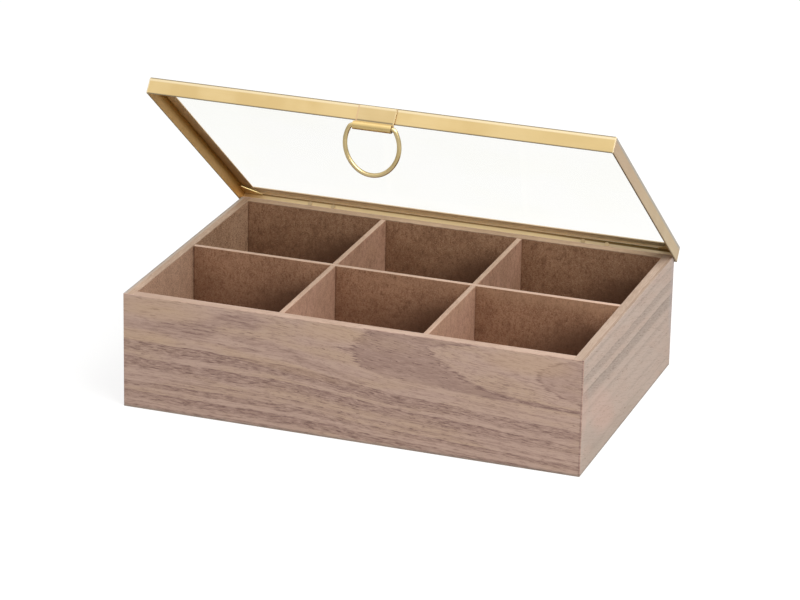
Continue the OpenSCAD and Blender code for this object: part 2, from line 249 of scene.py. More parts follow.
def walnut_finish(g, palette, bands, coarse, streaks, dashes, pores, broad, tints=()):
    """Shared end of the walnut veneers: colours, pores, dull sheen and relief. coarse is where
    the dark bands have a coarse, broken grain, and tints are patches and their colours."""
    light, warm, dark, deep = palette
    tone = g.mix(g.ramp(broad, -0.08, 0.14), light, warm)
    tone = g.mix(bands, tone, dark)
    tone = g.mix(g.ramp(bands, 0.95, 1.40, 0.0, 0.60), tone, deep)
    tone = g.mix(g.ramp(streaks, -0.02, 0.24, 0.0, 0.70), tone, dark)
    tone = g.mix(g.ramp(streaks, -0.05, -0.28, 0.0, 0.55), tone, light)
    tone = g.mix(g.ramp(dashes, 0.0, 0.22, 0.0, 0.62), tone, dark)
    tone = g.mix(g.ramp(dashes, -0.02, -0.22, 0.0, 0.50), tone, light)
    banded = g.ramp(coarse, 0.1, 0.6)
    tone = g.mix(g.mul(g.ramp(dashes, -0.02, 0.20, 0.0, 0.70), banded), tone, deep)
    tone = g.mix(g.mul(g.ramp(dashes, 0.02, -0.20, 0.0, 0.62), banded), tone, light)
    inked = g.mul(pores, g.ramp(g.add(broad, g.mul(bands, 0.25)), -0.10, 0.20, 0.30, 0.85))
    tone = g.mix(inked, tone, deep)
    for reach, colour in tints:
        tone = g.mix(reach, tone, colour)
    relief = g.sub(g.mul(streaks, 0.5), pores)
    g.principled(Base_Color=foot_line(g, tone), Roughness=g.ramp(streaks, -0.3, 0.3, 0.52, 0.68),
                 Normal=g.bump(relief, 0.05, 0.5), Specular_IOR_Level=0.3)


FRONT_WALNUT_TONES = (                   # light, warm, dark and deep
    srgb(192, 163, 147), srgb(191, 162, 140), srgb(156, 127, 115), srgb(116, 88, 79),
)
FRONT_RINGS = (                          # sharp top, end of full tone, faded end and depth
    (42.0, 41.2, 40.4, 0.25), (36.4, 31.6, 29.6, 0.78), (27.6, 24.4, 20.0, 0.74),
    (18.4, 17.4, 16.2, 0.35), (14.8, 13.0, 11.6, 0.62), (9.4, 6.2, 4.4, 0.76),
    (2.4, 1.2, 0.0, 0.40),
)
FRONT_CLOUDS = (                         # place, radii, slope and depth
    ((-58.0, 54.5), (18.0, 4.8), 0.05, 1.00), ((-88.0, 46.5), (26.0, 5.2), 0.08, 0.95),
    ((-72.0, 51.0), (30.0, 4.0), 0.24, 0.50), ((-50.0, 45.0), (18.0, 3.0), -0.10, 0.65),
    ((-22.0, 38.5), (34.0, 2.2), -0.21, 0.75), ((-35.0, 43.0), (16.0, 2.0), -0.10, 0.75),
    ((-112.0, 45.0), (14.0, 3.0), 0.0, 0.50),
)
FRONT_DASHES = 1.25                      # strength of the front's short dashes
OCHRE = srgb(198, 166, 132)
FRONT_TINTS = (                          # place, radii, slope and depth
    ((-100.0, 55.0), (32.0, 7.0), 0.0, 0.28), ((-112.0, 39.5), (24.0, 4.0), 0.0, 0.30),
    ((-8.0, 56.0), (20.0, 6.0), 0.0, 0.30), ((92.0, 55.0), (26.0, 7.0), 0.0, 0.34),
    ((-40.0, 35.0), (50.0, 3.0), -0.12, 0.20),
)

LOBE_TIP = (1.5, 48.5)                   # left end of the dark lobe, x and z
LOBE_FLOOR = 36.6                        # its lower edge near the tip
HEART_TIP = (39.5, 33.6)                 # where the light heart starts, and its lowest level
HEART_RISE = 23.5                        # how much higher the heart's lower edge is at its start
HEART_ROOF = 56.2                        # the heart's upper edge at its start
PINK_TIP = (98.0, 48.8)                  # left end of the pink figure in the heart


def front_cathedral(g, x, z, fray):
    """Dark lobe with a toothed left end, and the light heart that opens from it to the right.

    Gives the lobe's reach, how dark the figure is, and how dark its outlines are."""
    teeth = wave(g, x, z, (0.035, 1.05), 9.0, 4.0)
    barbs = wave(g, x, z, (0.06, 0.8), 13.0)
    tip = g.sub(z, LOBE_TIP[1])
    tip_squared = g.mul(tip, tip)
    spike = g.math("EXPONENT", g.mul(tip_squared, -1.6))
    tip_x = g.sub(g.add(LOBE_TIP[0], g.mul(tip_squared, 0.055)), g.mul(spike, 8.0))
    inside = g.sub(g.add(x, g.mul(teeth, 24.0)), g.add(tip_x, 1.5))
    toe = g.math("EXPONENT", g.mul(g.sub(x, 5.0), -1 / 14))
    floor_z = g.sub(LOBE_FLOOR, g.mul(x, 0.036))
    floor_z = g.add(floor_z, g.add(g.mul(toe, 4.0), g.mul(fray, 2.0)))
    above = g.sub(z, floor_z)
    lobe = g.mul(g.ramp(inside, -0.8, 1.0), g.ramp(above, -0.4, 0.5))

    heart_run = g.sub(g.add(x, g.mul(barbs, 20.0)), HEART_TIP[0])
    heart_fall = g.math("EXPONENT", g.mul(heart_run, -1 / 21))
    over_heart = g.sub(z, g.add(HEART_TIP[1], g.mul(heart_fall, HEART_RISE)))
    roof_z = g.add(g.add(HEART_ROOF, g.mul(heart_run, 0.15)), g.mul(fray, 3.0))
    over_roof = g.sub(z, roof_z)
    heart = g.mul(g.ramp(over_heart, -0.4, 0.5), g.ramp(heart_run, -0.5, 1.0))
    heart = g.mul(heart, g.ramp(over_roof, 0.5, -0.5))

    middle = g.sub(z, PINK_TIP[1])
    pink_x = g.add(PINK_TIP[0], g.mul(g.mul(middle, middle), 0.16))
    pink_run = g.sub(g.add(x, g.mul(barbs, 14.0)), pink_x)
    pink = g.mul(g.ramp(pink_run, -1.0, 1.5, 0.0, 0.36), heart)
    pink_rim = g.mul(g.line(pink_run, 2.2, 0.4), heart)
    pink_rim = g.mul(pink_rim, g.ramp(barbs, -0.12, 0.08, 0.25, 1.25))

    rim = g.mul(g.line(g.sub(inside, 0.8), 2.6, 0.3, 0.95), g.ramp(above, -0.4, 0.8))
    heart_rim = g.mul(g.line(g.add(over_heart, 1.0), 1.6, 0.3, 0.95), lobe)
    heart_rim = g.mul(heart_rim, g.ramp(heart_run, -2.0, 2.0))
    roof_rim = g.mul(g.line(over_roof, 1.6, 0.3, 0.9), lobe)
    roof_rim = g.mul(roof_rim, g.mul(g.ramp(heart_run, 0.0, 3.0), g.ramp(heart_run, 34.0, 26.0)))
    rims = g.mul(g.top(rim, heart_rim, roof_rim), g.ramp(teeth, -0.14, 0.06, 0.5, 1.45))
    rims = g.mul(rims, g.sub(1.0, heart))

    cloud = wave(g, x, z, (0.030, 0.10), 21.0, 2.0)
    inner = g.mul(g.mul(lobe, g.ramp(cloud, -0.14, 0.14, 0.45, 0.82)), g.sub(1.0, heart))
    inner = g.mul(inner, g.ramp(x, 55.0, 95.0, 1.0, 1.35))
    return lobe, g.top(inner, rims, pink, pink_rim), rims


RINGS_DROP = 0.012                       # how far the rings fall for each mm to the right
RINGS_BEND = (75.0, 165.0, 6.5)          # from and to where they bend down, and how far
RINGS_END_DROP = 0.07                    # how much more they fall per mm beyond the bend


def front_level(g, x, z, fray):
    """Height of a point of the front among its rings, which sway and fall to the right."""
    bend_from, bend_to, bend_fall = RINGS_BEND
    run = g.add(x, HALF_W)
    fall = g.add(g.mul(run, RINGS_DROP), g.ramp(run, bend_from, bend_to, 0.0, bend_fall))
    fall = g.add(fall, g.mul(g.top(g.sub(run, bend_to), 0.0), RINGS_END_DROP))
    fall = g.mul(fall, g.add(0.62, g.mul(z, 0.014)))
    sway = wave(g, x, z, (0.013, 0.035), 0.0, 2.0)
    return g.add(g.add(g.add(z, fall), g.mul(sway, 2.0)), g.mul(fray, 2.2))


def front_long_rings(g, x, level):
    """The long dark rings of the front, thinned and faded here and there."""
    thin = wave(g, x, level, (0.012, 0.85), 5.0)
    below = g.ramp(level, 37.0, 34.0)
    fine = g.mul(g.ramp(thin, 0.0, 0.18, 0.0, 0.7), below)
    total = g.top(rings(g, level, FRONT_RINGS), fine)
    total = g.mul(total, g.ramp(thin, -0.22, -0.04, 0.35, 1.0))
    fade = wave(g, x, level, (0.011, 0.11), 31.0, 2.0)
    return g.mul(total, g.ramp(fade, -0.20, 0.06, 0.45, 1.04))


def front_walnut():
    """Flat-sawn veneer of the front: long rings, and a cathedral that opens to the right."""
    g = material_graph("walnut_front")
    x, _, z = g.split(g.object_mm())[:3]
    fray = wave(g, x, z, (0.07, 0.95), 8.0)
    level = front_level(g, x, z, fray)
    long_rings = front_long_rings(g, x, level)
    clouds = 0.0
    for patch in FRONT_CLOUDS:
        clouds = g.top(clouds, smudge(g, x, z, *patch))
    clouds = g.mul(clouds, g.ramp(fray, -0.12, 0.12, 0.30, 1.0))
    lobe, figure, rims = front_cathedral(g, x, z, fray)
    outside = g.sub(1.0, lobe)
    corner = g.line(g.sub(x, HALF_W - 0.5), 0.6, 0.2, 0.9)
    bands = g.top(g.mul(g.top(long_rings, clouds), outside), figure, corner)
    broken = g.mul(g.top(long_rings, g.mul(clouds, 0.5)), outside)
    coarse = g.top(broken, g.mul(rims, 0.5), g.mul(lobe, 0.25), corner)
    tints = [(smudge(g, x, z, *patch), OCHRE) for patch in FRONT_TINTS]
    streaks, dashes, pores, broad = grain(g, x, level, 1.0)
    dashes = g.mul(dashes, FRONT_DASHES)
    walnut_finish(g, FRONT_WALNUT_TONES, bands, coarse, streaks, dashes, pores, broad, tints)
    return g.owner


def plain_walnut(name, side_axis, palette, table, drift, slope, lean=0.0, strength=1.0,
                 patches=()):
    """Straight-grained veneer of a side or of the back, with a few soft rings. strength is how
    much of the grain shows, and patches are smudges with their colours; on the right side one of
    them is a painted reflection."""
    g = material_graph(name)
    axes = g.split(g.object_mm())
    along = axes[side_axis]
    z = axes[2]
    sway = wave(g, along, z, (0.014, 0.03), drift, 2.0)
    fray = wave(g, along, z, (0.04, 0.9), drift)
    level = g.add(g.add(g.add(z, g.mul(along, slope)), g.mul(sway, 4.0)), g.mul(fray, 1.8))
    thin = wave(g, along, level, (0.008, 0.5), drift)
    bands = g.top(rings(g, level, table), g.ramp(thin, 0.0, 0.25, 0.0, 0.5))
    slanted = g.add(level, g.mul(along, lean))
    tints = [(smudge(g, along, z, *patch), colour) for *patch, colour in patches]
    streaks, dashes, pores, broad = grain(g, along, slanted, drift)
    streaks = g.mul(streaks, strength)
    dashes = g.mul(dashes, strength)
    walnut_finish(g, palette, bands, g.mul(bands, strength), streaks, dashes, pores, broad, tints)
    return g.owner


BOARD_PALE = srgb(196, 158, 126)
BOARD_SPECK = srgb(70, 48, 36)
BOARD_PAINTED_LIGHT = srgb(255, 214, 190)
DEPTH_SHADE = srgb(88, 56, 36)
CORNER_SHADOW = srgb(84, 56, 40)
JOINT_SHADE_LINE = srgb(72, 47, 34)


def fibreboard(name, light, dark, deep, fleck, painted_front_light=0.0):
    """Mottled brown board. fleck is how strongly its finest fibres show, and painted_front_light
    how much lighter the front row of compartments is painted, as painted light. The faces to -Y
    have painted light at the top right, painted shade at their right end and at the foot, and
    dark joint lines with painted shade at their left end."""
    g = material_graph(name)
    at = g.object_mm()
    x, y, z = g.split(at)[:3]
    cloud = g.noise(at, 0.05, 2.0, 0.5)
    blotch = g.noise(g.join(g.mul(x, 0.26), g.mul(y, 0.26), g.mul(z, 0.20)), 1.0, 3.0, 0.6)
    fibres = g.noise(g.join(g.mul(x, 0.62), g.mul(y, 0.62), g.mul(z, 0.40)), 1.0, 4.0, 0.7)
    fine = g.noise(at, 1.7, 2.0, 0.6)
    speck = g.ramp(g.noise(at, 0.8, 1.0, 0.5), 0.70, 0.76)
    tone = g.mix(g.ramp(cloud, 0.35, 0.65), light, dark)
    tone = g.mix(g.ramp(blotch, 0.50, 0.68, 0.0, 0.34), tone, deep)
    tone = g.mix(g.ramp(blotch, 0.48, 0.32, 0.0, 0.16), tone, BOARD_PALE)
    tone = g.mix(g.ramp(fibres, 0.50, 0.70, 0.0, 0.66), tone, deep)
    tone = g.mix(g.ramp(fibres, 0.48, 0.30, 0.0, 0.30), tone, BOARD_PALE)
    tone = g.mix(g.ramp(fine, 0.5, 0.72, 0.0, 0.6 * fleck), tone, deep)
    tone = g.mix(g.ramp(fine, 0.46, 0.26, 0.0, 0.5 * fleck), tone, BOARD_PALE)
    tone = g.mix(g.mul(speck, 0.5), tone, BOARD_SPECK)
    # painted light: paler towards the top right of the upper faces
    lit = g.mul(g.ramp(z, BOX_H - 10.0, BOX_H - 2.0), g.ramp(x, -40.0, 90.0, 0.0, 0.30))
    tone = g.mix(g.mul(lit, g.ramp(y, 10.0, 0.0)), tone, BOARD_PALE)
    # painted shade towards the base, at the right ends and in the left corners of the -Y faces
    tone = g.mix(painted_depth_shade(g, x, y, z), tone, DEPTH_SHADE)
    tone = g.mix(painted_corner_shadow(g, x, z), tone, CORNER_SHADOW)
    tone = g.mix(corner_shade_lines(g, x), tone, JOINT_SHADE_LINE)
    # painted light on the front row of compartments
    tone = g.mix(g.ramp(y, 0.0, -6.0, 0.0, painted_front_light), tone, BOARD_PAINTED_LIGHT)
    relief = g.add(fibres, fine)
    g.principled(Base_Color=tone, Roughness=g.ramp(fine, 0.2, 0.8, 0.66, 0.84),
                 Normal=g.bump(relief, 0.09, 0.6), Specular_IOR_Level=0.2)
    return g.owner


def towards_front(g):
    """1 on faces that look to -Y."""
    return g.ramp(g.split(g.node("TexCoord").outputs["Normal"])[1], -0.5, -0.9)


def painted_corner_shadow(g, x, z):
    """Painted shadow at the foot and right end of a compartment's -Y faces, where the divider on
    the right shades them.
    """
    to_right = g.mul(g.math("FRACT", g.mul(g.sub(CELL_W / 2, x), 1 / CELL_W)), CELL_W)
    depth = g.sub(BOX_H, z)
    reach = g.sub(to_right, g.mul(depth, 1.3))
    gloom = g.mul(g.ramp(reach, 26.0, -12.0), g.ramp(depth, 4.0, 20.0, 0.0, 0.75))
    return g.mul(gloom, towards_front(g))


def painted_depth_shade(g, x, y, z):
    """Painted shade on the -Y faces, darker towards the base, weaker in the right cells."""
    gloom = g.ramp(g.sub(BOX_H, z), 7.0, 30.0, 0.0, 0.36)
    away = g.mul(g.ramp(x, 30.0, 60.0, 0.0, 0.90), g.ramp(y, 50.0, 60.0, 0.5, 1.0))
    return g.mul(g.mul(gloom, g.sub(1.0, away)), towards_front(g))


CORNER_LINES = ((-INNER_W, 0.38), (MIDDLE_FACE, 0.26), (DIVIDER_FACE, 0.14))    # x and depth


def corner_shade_lines(g, x):
    """Dark joint lines at the left ends of the -Y faces, against the left wall and the dividers,
    with painted shade in those corners.
    """
    total = 0.0
    for corner, depth in CORNER_LINES:
        total = g.top(total, g.line(g.sub(x, corner + 0.25), 0.65, 0.25, depth))
    return g.mul(total, towards_front(g))


EDGE_DASH = srgb(156, 126, 106)
EDGE_FLECK = srgb(226, 198, 176)
EDGE_PORE = srgb(132, 102, 84)


def edging(name, along_axis, light, dark, seam=None, shade=None):
    """Pale wood strip on a top edge, grain along its length. seam is a line along it: its place,
    its half width and its colour. shade is a drift in tone, on the left edging the lid's painted
    shadow: its start, end and colour."""
    g = material_graph(name)
    axes = g.split(g.object_mm())
    streaks, dashes, pores, broad = grain(g, axes[along_axis], axes[1 - along_axis], 7.0)
    tone = g.mix(g.ramp(broad, -0.15, 0.15), light, dark)
    tone = g.mix(g.ramp(streaks, -0.05, 0.2, 0.0, 0.7), tone, dark)
    tone = g.mix(g.ramp(dashes, 0.0, 0.24, 0.0, 0.55), tone, EDGE_DASH)
    tone = g.mix(g.ramp(dashes, -0.02, -0.22, 0.0, 0.45), tone, EDGE_FLECK)
    tone = g.mix(g.mul(pores, 0.6), tone, EDGE_PORE)
    if shade:
        start, end, colour = shade
        tone = g.mix(g.ramp(axes[along_axis], start, end, 0.0, 0.5), tone, colour)
    if seam:
        place, half, colour = seam
        reach = g.line(g.sub(axes[1 - along_axis], place), half + 0.2, half - 0.2, 0.85)
        tone = g.mix(reach, tone, colour)
    g.principled(Base_Color=tone, Roughness=g.ramp(streaks, -0.3, 0.3, 0.5, 0.64),
                 Normal=g.bump(streaks, 0.05, 0.4), Specular_IOR_Level=0.3)
    return g.owner


def gold(name, scales, light, dark, turn=0.0, metallic=1.0, rough=(0.30, 0.40), bend=None,
         ends=None, shade=None):
    """Satin gold plate, faintly drawn along the direction with the smallest scale. bend holds the
    painted reflections that painted_skirt_reflections takes, ends what end_lines takes, and shade
    the axis, the start, the end and the colour of a drift in tone."""
    g = material_graph(name)
    at = g.object_mm()
    turned = g.node("VectorRotate", {"Vector": at, "Angle": turn}, rotation_type="X_AXIS")
    stretched = g.node("VectorMath", {0: turned.outputs[0], 1: scales}, operation="MULTIPLY")
    lines = g.noise(stretched.outputs[0], 1.0, 3.0, 0.6)
    cloud = g.noise(at, 0.05, 2.0, 0.5)
    tone = g.mix(g.ramp(cloud, 0.35, 0.65), light, dark)
    tone = g.mix(g.ramp(lines, 0.45, 0.75, 0.0, 0.4), tone, dark)
    if shade:
        axis, start, end, colour = shade
        tone = g.mix(g.ramp(g.split(at)[axis], start, end, 0.0, 0.5), tone, colour)
    if bend:
        tone = painted_skirt_reflections(g, at, tone, *bend)
    if ends:
        tone = end_lines(g, at, tone, *ends)
    g.principled(Base_Color=tone, Metallic=metallic, Roughness=g.ramp(lines, 0.2, 0.8, *rough),
                 Normal=g.bump(lines, 0.012, 0.3))
    return g.owner


def lid_place(g, at):
    """The point on the open lid as the closed lid has it: x, y and the height over the pins."""
    pin = g.join(0.0, HINGE_PIN.y, HINGE_PIN.z)
    inputs = {"Vector": at, "Center": pin, "Angle": OPEN_ANGLE}
    closed = g.node("VectorRotate", inputs, rotation_type="X_AXIS")
    x, y, z = g.split(closed.outputs[0])[:3]
    return x, y, g.sub(z, HINGE_PIN.z)


def painted_skirt_reflections(g, at, tone, bright, beyond, at_foot):
    """Painted highlight along the lid's top bend, with a duller painted reflection beyond it and
    one at the foot.
    """
    height = lid_place(g, at)[2]
    tone = g.mix(g.ramp(height, SKIRT_H - 2.2, SKIRT_H - 1.4), tone, bright)
    tone = g.mix(g.ramp(height, SKIRT_H - 0.8, SKIRT_H - 0.5), tone, beyond)
    foot = g.mul(g.ramp(height, 0.7, 0.1), g.ramp(height, -0.5, -0.2))
    return g.mix(foot, tone, at_foot)


def end_lines(g, at, tone, place, width, colours):
    """Lines of the given width across both ends of a piece that reaches from -place to place."""
    x = g.split(at)[0]
    for side, colour in zip((-1, 1), colours):
        off = g.sub(g.mul(x, side), place - width)
        tone = g.mix(g.ramp(off, -0.1, 0.1, 0.0, 0.8), tone, colour)
    return tone


def skirt_inside(name, foot, head, line, beyond, far_end, far_line):
    """Inner face of a rail: gold that deepens upwards to a dark line at the pane's underside, as
    painted reflection of the box's dark inside and painted shadow along the line.

    beyond is the tone over that line, a painted reflection along the pane's edge that shows
    through the pane. far_end and far_line are the tones at the rear rail's right end, a painted
    reflection of the rim."""
    g = material_graph(name)
    at = g.object_mm()
    x, _, height = lid_place(g, at)
    cloud = g.noise(at, 0.35, 3.0, 0.6)
    tone = g.mix(g.ramp(height, 2.5, GLASS_FOOT), foot, head)
    tone = g.mix(g.ramp(x, 40.0, 100.0), tone, far_end)
    tone = g.mix(g.ramp(cloud, 0.5, 0.8, 0.0, 0.3), tone, head)
    line_foot = g.ramp(x, 20.0, HALF_W, GLASS_FOOT - 0.6, GLASS_FOOT - 1.3)
    line = g.mix(g.ramp(x, 30.0, 110.0), line, far_line)
    tone = g.mix(g.ramp(g.sub(height, line_foot), -0.3, 0.2), tone, line)
    tone = g.mix(g.ramp(height, GLASS_FOOT + 0.1, GLASS_FOOT + 0.4), tone, beyond)
    g.principled(Base_Color=tone, Metallic=0.8, Roughness=g.ramp(cloud, 0.2, 0.8, 0.38, 0.5),
                 Normal=g.bump(cloud, 0.02, 0.3))
    return g.owner


def flange_underside(name, along_axis, near, far, seam, end):
    """Underside of a rail's flange over the pane, in tones of painted reflection and shade: near
    its skirt, seam and near, then far, and end at the right end of the lid. seam is a painted
    reflection along the pane's edge."""
    g = material_graph(name)
    at = g.object_mm()
    x, y, _ = lid_place(g, at)
    half = HALF_W if along_axis == 1 else HALF_D
    out = g.math("ABSOLUTE", (x, y)[1 - along_axis])
    inwards = g.sub(half + LID_OVERHANG, out)
    cloud = g.noise(at, 0.4, 3.0, 0.6)
    tone = g.mix(g.ramp(inwards, 1.0, FLANGE_W), near, far)
    tone = g.mix(g.ramp(inwards, 2.0, 1.2), tone, seam)
    tone = g.mix(g.ramp(cloud, 0.45, 0.8, 0.0, 0.3), tone, far)
    tone = g.mix(g.ramp(x, 50.0, 118.0, 0.0, 0.8), tone, end)
    g.principled(Base_Color=tone, Roughness=g.ramp(cloud, 0.2, 0.8, 0.6, 0.7),
                 Normal=g.bump(cloud, 0.02, 0.3))
    return g.owner


def steel():
    """Plated steel of the screws and pins, slightly dull."""
    g = material_graph("fastener_steel")
    at = g.object_mm()
    lines = g.noise(at, 3.0, 3.0, 0.6)
    tone = g.mix(lines, srgb(200, 194, 184), srgb(164, 158, 148))
    g.principled(Base_Color=tone, Metallic=1.0, Roughness=g.ramp(lines, 0.2, 0.8, 0.25, 0.45),
                 Normal=g.bump(lines, 0.02, 0.4))
    return g.owner


COATED_IOR = 1.04
GLASS_GLOSS = 0.01                       # share of a plain mirror in the pane


def clear_glass():
    """Coated clear glass with some dust: it hardly mirrors, and lamp light passes through."""
    g = material_graph("clear_glass")
    at = g.object_mm()
    speck = g.ramp(g.noise(at, 0.55, 1.0, 0.4), 0.79, 0.83)
    film = g.ramp(g.noise(at, 0.02, 2.0, 0.5), 0.4, 0.7)
    tone = g.mix(film, srgb(255, 251, 250), srgb(254, 250, 246))
    tone = g.mix(g.mul(speck, 0.35), tone, srgb(205, 202, 194))
    glass = g.principled(Base_Color=tone, IOR=COATED_IOR, Roughness=0.0, Transmission_Weight=1.0)
    gloss = g.node("BsdfGlossy", {"Color": WHITE, "Roughness": 0.0})
    mirror = g.node("MixShader", {0: GLASS_GLOSS, 1: glass.outputs[0], 2: gloss.outputs[0]})
    path = g.node("LightPath").outputs
    passing = g.top(path["Is Shadow Ray"], path["Is Diffuse Ray"], path["Is Glossy Ray"])
    clear = g.node("BsdfTransparent", {0: srgb(250, 252, 250)})
    g.show(g.node("MixShader", {0: passing, 1: mirror.outputs[0], 2: clear.outputs[0]}))
    return g.owner


# ---------- pieces ----------

def closed_lid(vector, is_place=True):
    """A place in millimetres, or a direction, of the open lid as the closed lid has it."""
    pin = HINGE_PIN if is_place else Vector((0.0, 0.0, 0.0))
    return Matrix.Rotation(OPEN_ANGLE, 3, "X") @ (vector - pin) + pin


SAME_POINT_MM = 0.001
QUAD_ANGLE = math.radians(60)            # triangles that meet at less than this make a quad
FLAT_ANGLE = math.radians(0.5)           # faces that meet at less than this are one
SHARP_ANGLE = math.radians(30)           # edges that turn by more than this are rounded


def tidy_mesh(mesh, quads=False):
    """Merges doubled points, and the triangles that make up one flat face or one quad."""
    bm = bmesh.new()
    bm.from_mesh(mesh)
    bmesh.ops.remove_doubles(bm, verts=bm.verts, dist=SAME_POINT_MM * MM)
    if quads:
        bmesh.ops.join_triangles(bm, faces=bm.faces, angle_face_threshold=QUAD_ANGLE,
                                 angle_shape_threshold=QUAD_ANGLE)
    else:
        bmesh.ops.dissolve_limit(bm, angle_limit=FLAT_ANGLE, verts=bm.verts, edges=bm.edges)
    bm.to_mesh(mesh)
    bm.free()


def refine(node, body, material, edge_mm, segments=2, accents=(), faceted=False, levels=0):
    """A finished copy of a CAD node: clean faces, softly rounded edges and its materials.

    Each of accents is a material and a test of a face's normal and centre, in mm, that picks it.
    A faceted piece keeps its flat faces, and levels rounds a piece off by subdivision.
    """
    mesh = frame["nodes"][node].data.copy()
    mesh.name = node + "_finish"
    tidy_mesh(mesh, quads=levels > 0)
    mesh.materials.clear()
    mesh.materials.append(material)
    for accent_material, _ in accents:
        mesh.materials.append(accent_material)
    for polygon in mesh.polygons:
        polygon.use_smooth = not faceted
        for index, (_, picks) in enumerate(accents, 1):
            if picks(polygon.normal, polygon.center / MM):
                polygon.material_index = index
    piece = bpy.data.objects.new(node + "_finish", mesh)
    bpy.context.scene.collection.objects.link(piece)
    if edge_mm > 0:
        bevel = piece.modifiers.new("edges", "BEVEL")
        bevel.width = edge_mm * MM
        bevel.segments = segments
        bevel.limit_method = "ANGLE"
        bevel.angle_limit = SHARP_ANGLE
        bevel.use_clamp_overlap = True
        if not faceted:
            piece.modifiers.new("normals", "WEIGHTED_NORMAL")
    if levels:
        round_off = piece.modifiers.new("round", "SUBSURF")
        round_off.levels = levels
        round_off.render_levels = levels
    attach(piece, body)
    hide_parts(node)
    return piece


ALONG = 0.9                              # least part of a unit normal along an axis
SIDEWAYS = 0.7                           # the same for the rounded sides of the bracket


def faces_up(normal, centre):
    return normal.z > ALONG


def plate_side(normal, centre):
    """True for the left and right edges of the bracket's plate."""
    return abs(normal.x) > SIDEWAYS and closed_lid(centre).z > HINGE_PIN.z


def below_plate(normal, centre):
    """True for the bracket's barrel, which hangs under its plate."""
    return closed_lid(centre).z < HINGE_PIN.z - 0.8


def barrel_end(normal, centre):
    """True for the left and right ends of the barrel."""
    return abs(normal.x) > SIDEWAYS and closed_lid(centre).z < HINGE_PIN.z


def points_inwards(normal, centre):
    """True for an upright face of the closed lid that looks to the middle of the lid."""
    across = closed_lid(normal, is_place=False)
    place = closed_lid(centre)
    return across.x * place.x + across.y * place.y < -1.0 and abs(across.z) < 0.1


def skirt_inner_face(normal, centre):
    """True for the inner face of a rail's skirt, below the flange."""
    height = closed_lid(centre).z - HINGE_PIN.z
    return points_inwards(normal, centre) and height < SKIRT_H - 1.0


def under_flange(normal, centre):
    """True for a rail's faces that the pane covers: the flange's underside and inner edge."""
    height = closed_lid(centre).z - HINGE_PIN.z
    if closed_lid(normal, is_place=False).z < -ALONG:
        return height > 1.0
    return points_inwards(normal, centre) and height > SKIRT_H - 1.0


# ---------- the part's materials ----------

# the light, warm, dark and deep tones of the walnut veneers
WALNUT = (srgb(188, 161, 142), srgb(186, 158, 134), srgb(154, 127, 114), srgb(120, 93, 82))
GREY_WALNUT = (srgb(185, 165, 151), srgb(184, 161, 146), srgb(158, 142, 130), srgb(128, 110, 98))
REAR_RINGS = (
    (52.4, 49.0, 47.0, 0.7), (41.8, 40.6, 39.0, 0.6), (36.0, 32.0, 29.0, 0.7),
    (22.0, 20.4, 18.0, 0.6), (11.0, 8.0, 5.0, 0.6),
)
RIGHT_RINGS = (
    (57.6, 56.4, 55.0, 0.35), (49.6, 46.0, 44.0, 0.60), (41.4, 37.0, 34.0, 0.80),
    (31.0, 30.0, 27.0, 0.35), (23.0, 22.0, 20.0, 0.20),
)
LEFT_RINGS = (
    (53.4, 51.6, 50.0, 0.6), (47.0, 42.6, 40.0, 0.7), (31.0, 29.6, 28.0, 0.6),
    (19.4, 16.0, 13.0, 0.5),
)
RIGHT_PATCHES = (                        # place, radii, slope, depth and colour
    ((-46.0, 22.0), (26.0, 15.0), -0.45, 0.26, srgb(202, 160, 144)),
    ((-78.0, 34.0), (10.0, 16.0), 0.0, 0.28, srgb(202, 160, 144)),
    ((-60.0, 13.0), (22.0, 7.0), -0.3, 0.30, srgb(158, 140, 128)),
    ((-30.0, 4.0), (70.0, 7.0), 0.0, 0.30, srgb(158, 146, 132)),
    # grey patch at the rear end: a painted reflection of the white surroundings
    ((80.0, 40.0), (7.0, 34.0), 0.0, 0.40, srgb(172, 162, 162)),
)
FRONT_WALNUT = front_walnut()
REAR_WALNUT = plain_walnut("walnut_rear", 0, WALNUT, REAR_RINGS, drift=3.0, slope=0.03)
RIGHT_WALNUT = plain_walnut("walnut_right", 1, GREY_WALNUT, RIGHT_RINGS, drift=11.0, slope=0.017,
                            lean=0.30, strength=0.70, patches=RIGHT_PATCHES)
LEFT_WALNUT = plain_walnut("walnut_left", 1, WALNUT, LEFT_RINGS, drift=17.0, slope=-0.02)
REAR_BOARD = fibreboard("fibreboard_rear", srgb(159, 121, 94), srgb(147, 110, 84),
                        srgb(102, 71, 50), fleck=1.1)
MOTTLED_BOARD = fibreboard("fibreboard_mottled", srgb(173, 132, 104), srgb(161, 121, 94),
                           srgb(115, 80, 58), fleck=1.0)
LEFT_BOARD = fibreboard("fibreboard_left", srgb(163, 129, 105), srgb(151, 117, 93),
                        srgb(100, 70, 50), fleck=1.8, painted_front_light=0.13)
SMOOTH_BOARD = fibreboard("fibreboard_smooth", srgb(180, 139, 118), srgb(168, 129, 107),
                          srgb(124, 88, 68), fleck=1.1, painted_front_light=0.09)
EDGE_X = edging("edging_x", 0, srgb(196, 168, 150), srgb(181, 152, 133),
                shade=(-50.0, -105.0, srgb(168, 140, 120)))
REAR_EDGE = edging("edging_rear", 0, srgb(186, 156, 130), srgb(168, 139, 114))
EDGE_RIGHT = edging("edging_right", 1, srgb(190, 166, 148), srgb(174, 149, 130),
                    seam=(HALF_W - 1.1, 0.25, srgb(158, 132, 114)),
                    shade=(-10.0, -50.0, srgb(172, 148, 130)))
